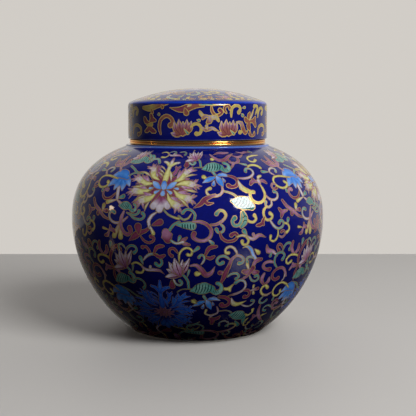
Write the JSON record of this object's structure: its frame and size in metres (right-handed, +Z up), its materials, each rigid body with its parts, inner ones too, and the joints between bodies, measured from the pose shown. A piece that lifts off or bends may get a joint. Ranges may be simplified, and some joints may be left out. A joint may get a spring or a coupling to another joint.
{
  "type": "lidded jar",
  "caption": "Round glazed jar with a short neck, a domed cap lid that lifts off and a beaded brass rim ring, covered in enamelled flower scrolls; holds dry goods or stands as an ornament.",
  "frame": {"origin": "on the surface the jar stands on, under the middle of the foot", "axes": "+Z up along the jar's own axis, -Y towards the side with the large yellow and rose flower"},
  "size_m": [0.2, 0.2, 0.1916],
  "materials": {
    "cobalt_glaze": "glossy cobalt glaze under fired enamels",
    "cobalt_glaze_lid": "glossy cobalt glaze under fired enamels",
    "gilt_brass": "polished gilt brass",
    "gilt_line": "fired gilt outline",
    "enamel": "glossy fired enamels in rose, yellow, green and blue"
  },
  "bodies": {
    "root": {"jar": "cobalt_glaze", "lid": "cobalt_glaze_lid", "lid_rim_ring": "gilt_brass"}
  },
  "joints": []
}
